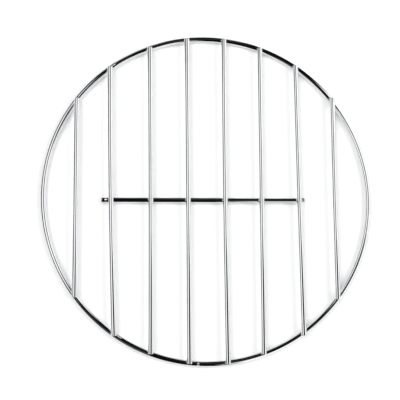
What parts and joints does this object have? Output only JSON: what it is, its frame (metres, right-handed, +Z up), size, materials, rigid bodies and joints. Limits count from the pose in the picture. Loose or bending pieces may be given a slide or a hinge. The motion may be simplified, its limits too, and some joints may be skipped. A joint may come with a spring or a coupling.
{
  "type": "cooling rack",
  "caption": "Flat round wire cooling rack: parallel bars welded across a ring, with one short stiffener wire under the middle bars.",
  "frame": {"origin": "centre of the ring, on the plane the rack stands on", "axes": "+Z up through the bars, the side the food lies on; +Y along the bars; +X across the bars"},
  "size_m": [0.3014, 0.3014, 0.0094],
  "materials": {
    "ring_wire": "bright chrome plate on drawn steel wire",
    "bar_wire": "bright chrome plate on drawn steel wire",
    "stiffener_wire": "bright chrome plate on drawn steel wire"
  },
  "bodies": {
    "root": {"outer_ring": "ring_wire", "bar_1": "bar_wire", "bar_2": "bar_wire", "bar_3": "bar_wire", "bar_4": "bar_wire", "bar_5": "bar_wire", "bar_6": "bar_wire", "bar_7": "bar_wire", "bar_8": "bar_wire", "stiffener_wire": "stiffener_wire"}
  },
  "joints": []
}
